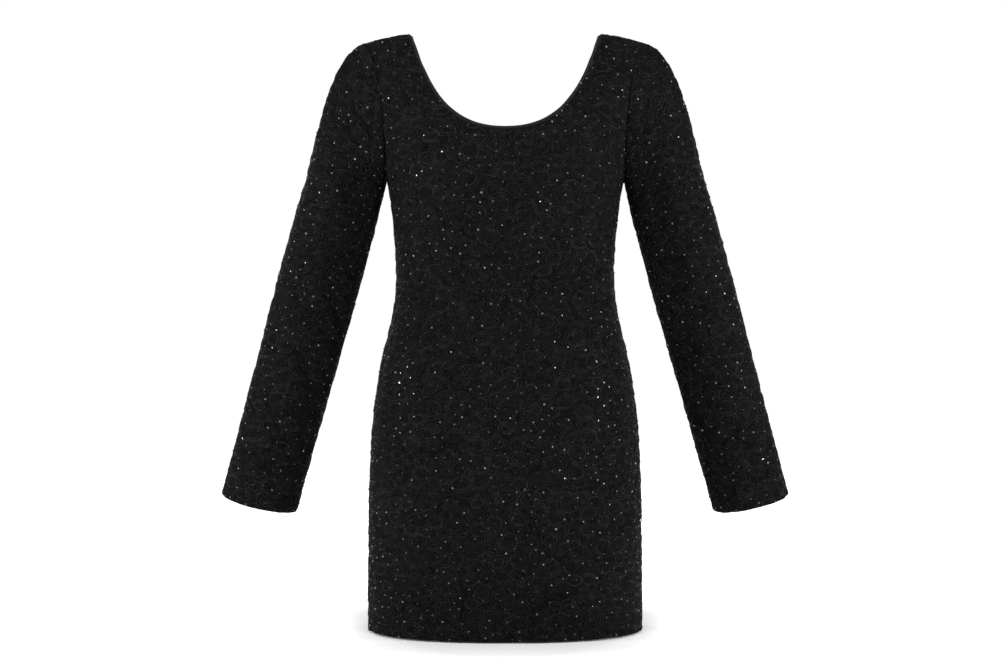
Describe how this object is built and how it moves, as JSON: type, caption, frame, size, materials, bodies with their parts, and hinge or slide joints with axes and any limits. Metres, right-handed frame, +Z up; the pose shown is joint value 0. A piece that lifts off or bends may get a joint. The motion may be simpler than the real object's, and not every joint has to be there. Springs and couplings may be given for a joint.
{
  "type": "bodycon dress",
  "caption": "Long-sleeved bodycon mini dress with a wide scoop neck, hollow as when worn, with set-in sleeves and open hem, cuffs and neck.",
  "frame": {"origin": "midway between the shoulders, at the height of the two neck points, where the wearer's shoulders carry the dress", "axes": "+Z up along the body, the dress's front faces -Y, and +X is to the right of someone looking at the front"},
  "size_m": [0.748, 0.2436, 0.7844],
  "materials": {
    "embroidered_cloth": "matte black stretch knit with tone-on-tone ring embroidery and scattered small sequins",
    "neck_edge": "smooth black satin binding"
  },
  "bodies": {
    "root": {"front_panel": "embroidered_cloth", "back_panel": "embroidered_cloth", "sleeve_right": "embroidered_cloth", "sleeve_left": "embroidered_cloth", "neck_binding": "neck_edge"}
  },
  "joints": []
}
